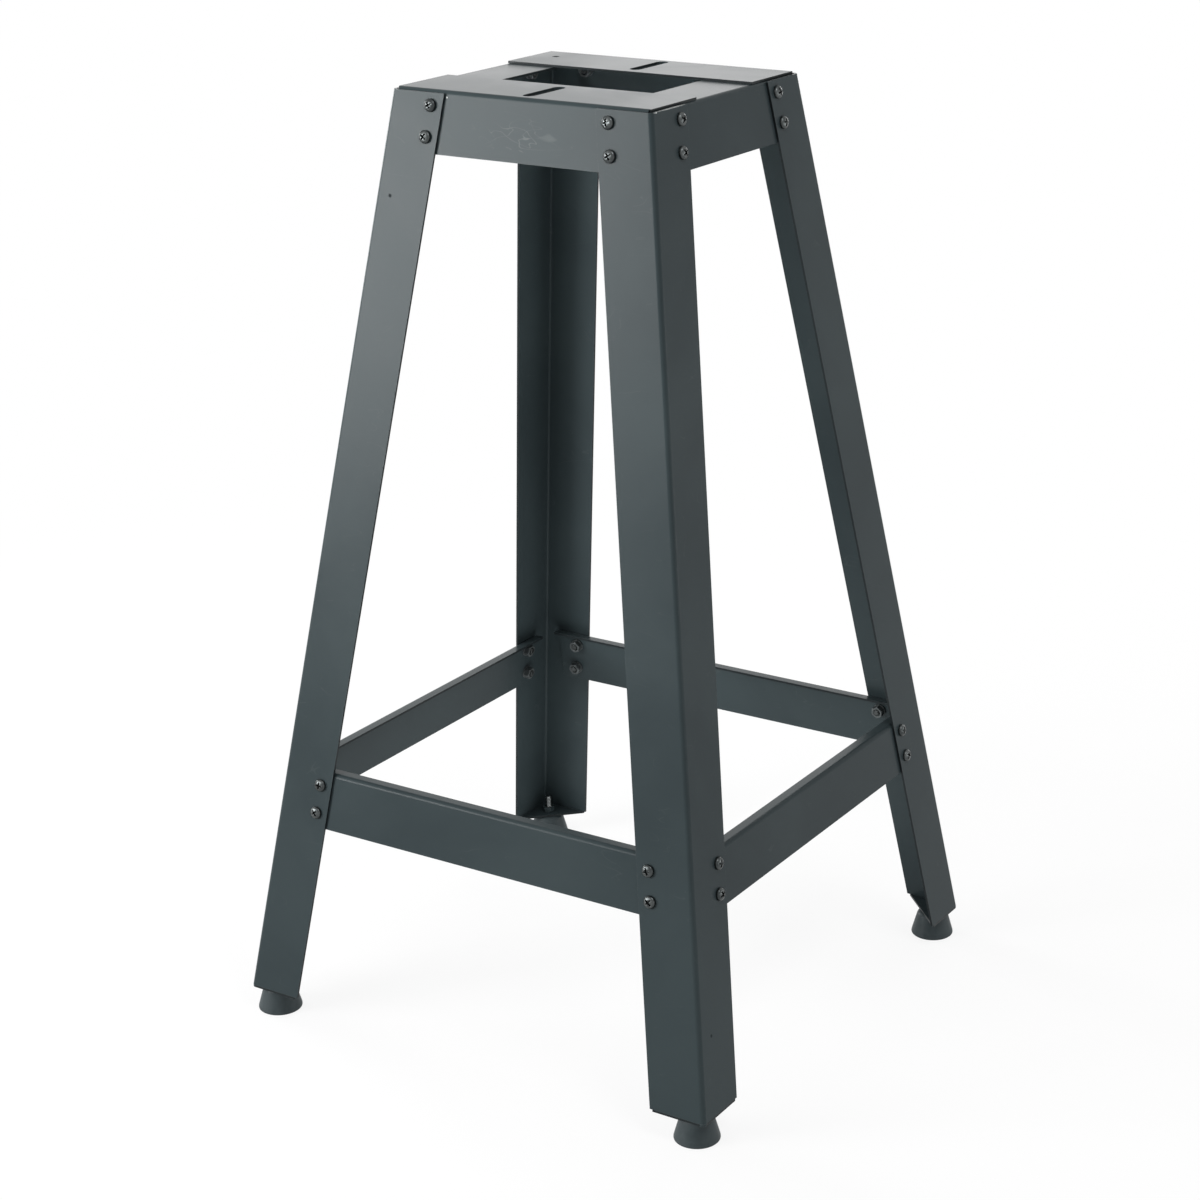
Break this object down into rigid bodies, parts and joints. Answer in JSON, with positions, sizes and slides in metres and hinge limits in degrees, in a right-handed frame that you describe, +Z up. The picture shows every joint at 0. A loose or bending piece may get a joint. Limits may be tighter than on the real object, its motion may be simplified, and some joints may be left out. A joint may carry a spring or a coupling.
{
  "type": "bench grinder stand",
  "caption": "Tall open stand with splayed folded-steel legs, slotted top and lower rails, for bolting down a bench grinder; rubber feet screw up and down to level it.",
  "frame": {"origin": "on the floor, in the middle of the stand's footprint", "axes": "+Z up; +X along the front rails towards the right legs; +Y from the front to the rear, the way the grinder's slots run"},
  "size_m": [0.466, 0.4568, 0.797],
  "materials": {
    "frame_paint": "satin charcoal grey-green powder coat",
    "dark_zinc": "dark zinc with a bronze sheen",
    "bright_zinc": "bright zinc plate",
    "rubber": "black satin moulded rubber"
  },
  "bodies": {
    "frame": {"foot_nut_front_left": "frame_paint", "foot_nut_front_right": "frame_paint", "foot_nut_rear_left": "frame_paint", "foot_nut_rear_right": "frame_paint", "foot_plate_front_left": "frame_paint", "foot_plate_front_right": "frame_paint", "foot_plate_rear_left": "frame_paint", "foot_plate_rear_right": "frame_paint", "leg_front_left": "frame_paint", "leg_front_right": "frame_paint", "leg_rear_left": "frame_paint", "leg_rear_right": "frame_paint", "lower_rail_front": "frame_paint", "lower_rail_front_nuts": "dark_zinc", "lower_rail_front_screws": "dark_zinc", "lower_rail_front_washers": "dark_zinc", "lower_rail_left": "frame_paint", "lower_rail_left_nuts": "dark_zinc", "lower_rail_left_screws": "dark_zinc", "lower_rail_left_washers": "dark_zinc", "lower_rail_rear": "frame_paint", "lower_rail_rear_nuts": "dark_zinc", "lower_rail_rear_screws": "dark_zinc", "lower_rail_rear_washers": "dark_zinc", "lower_rail_right": "frame_paint", "lower_rail_right_nuts": "dark_zinc", "lower_rail_right_screws": "dark_zinc", "lower_rail_right_washers": "dark_zinc", "top_rail_front": "frame_paint", "top_rail_front_nuts": "dark_zinc", "top_rail_front_screws": "dark_zinc", "top_rail_front_washers": "dark_zinc", "top_rail_left": "frame_paint", "top_rail_left_nuts": "dark_zinc", "top_rail_left_screws": "dark_zinc", "top_rail_left_washers": "dark_zinc", "top_rail_rear": "frame_paint", "top_rail_rear_nuts": "dark_zinc", "top_rail_rear_screws": "dark_zinc", "top_rail_rear_washers": "dark_zinc", "top_rail_right": "frame_paint", "top_rail_right_nuts": "dark_zinc", "top_rail_right_screws": "dark_zinc", "top_rail_right_washers": "dark_zinc"},
    "foot_front_left": {"foot_pad_front_left": "rubber", "foot_stud_front_left": "bright_zinc"},
    "foot_front_right": {"foot_pad_front_right": "rubber", "foot_stud_front_right": "bright_zinc"},
    "foot_rear_left": {"foot_pad_rear_left": "rubber", "foot_stud_rear_left": "bright_zinc"},
    "foot_rear_right": {"foot_pad_rear_right": "rubber", "foot_stud_rear_right": "bright_zinc"}
  },
  "joints": [
    {"name": "foot_front_left_height", "type": "slide", "parent": "frame", "child": "foot_front_left", "axis": [0, 0, -1], "range_m": [0, 0.012]},
    {"name": "foot_front_right_height", "type": "slide", "parent": "frame", "child": "foot_front_right", "axis": [0, 0, -1], "range_m": [0, 0.012]},
    {"name": "foot_rear_left_height", "type": "slide", "parent": "frame", "child": "foot_rear_left", "axis": [0, 0, -1], "range_m": [0, 0.012]},
    {"name": "foot_rear_right_height", "type": "slide", "parent": "frame", "child": "foot_rear_right", "axis": [0, 0, -1], "range_m": [0, 0.012]}
  ]
}
